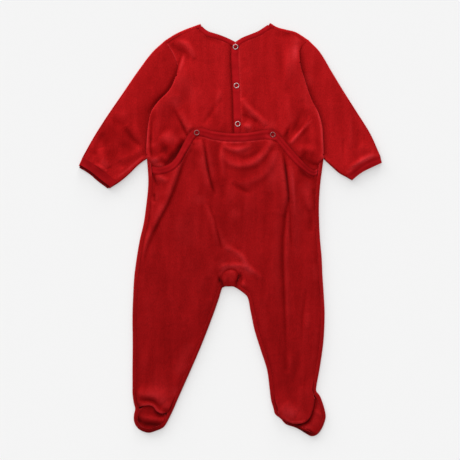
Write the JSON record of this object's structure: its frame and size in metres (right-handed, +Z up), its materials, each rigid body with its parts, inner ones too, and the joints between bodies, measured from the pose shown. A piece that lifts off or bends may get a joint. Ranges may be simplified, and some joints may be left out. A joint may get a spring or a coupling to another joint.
{
  "type": "onesie pajama",
  "caption": "Footed velour baby sleepsuit with long sleeves, a snap placket down the upper back and a drop seat, laid flat with its back up.",
  "frame": {"origin": "middle of the footprint, on the surface that the sleepsuit lies on", "axes": "+X to the right as seen from above, +Y from the feet to the neck, +Z up from the surface, out of the back"},
  "size_m": [0.4548, 0.62, 0.0108],
  "materials": {
    "velour": "matte",
    "jersey_band": "matte",
    "snap_metal": "satin"
  },
  "bodies": {
    "root": {"front": "velour", "upper_back_left": "velour", "upper_back_right": "velour", "placket_band": "jersey_band", "neck_band_front": "jersey_band", "neck_band_back_left": "jersey_band", "neck_band_back_right": "jersey_band", "seat": "velour", "seat_band": "jersey_band", "gusset": "velour", "sole_left": "velour", "sole_right": "velour", "sleeve_left": "velour", "sleeve_right": "velour", "cuff_left": "jersey_band", "cuff_right": "jersey_band", "snap_placket_1": "snap_metal", "snap_placket_2": "snap_metal", "snap_placket_3": "snap_metal", "snap_seat_left": "snap_metal", "snap_seat_right": "snap_metal"}
  },
  "joints": []
}
